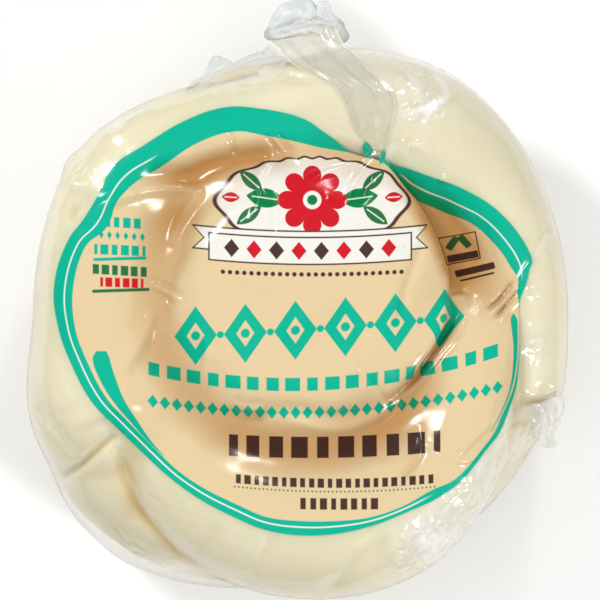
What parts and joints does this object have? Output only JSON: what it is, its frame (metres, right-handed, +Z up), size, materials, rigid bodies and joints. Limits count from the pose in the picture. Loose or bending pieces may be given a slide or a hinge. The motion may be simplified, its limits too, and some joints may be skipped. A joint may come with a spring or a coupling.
{
  "type": "oaxaca cheese",
  "caption": "Rope of fresh pulled-curd cheese wound into a flat ball in a clear vacuum bag with a printed front and a gathered, crumpled end",
  "frame": {"origin": "under the middle of the pack's box, on the flat spot that it rests on", "axes": "+Z up out of the printed face, +Y from the middle towards the crumpled end of the bag, +X to the right as the printed face is seen"},
  "size_m": [0.1074, 0.1194, 0.0446],
  "materials": {
    "cheese_in_film": "glossy clear film tight on cream cheese",
    "cheese": "smooth, slightly moist, faintly fibrous",
    "clear_film": "glossy clear film, printed over the front"
  },
  "bodies": {
    "root": {"cheese_pack": "cheese_in_film"}
  },
  "joints": []
}
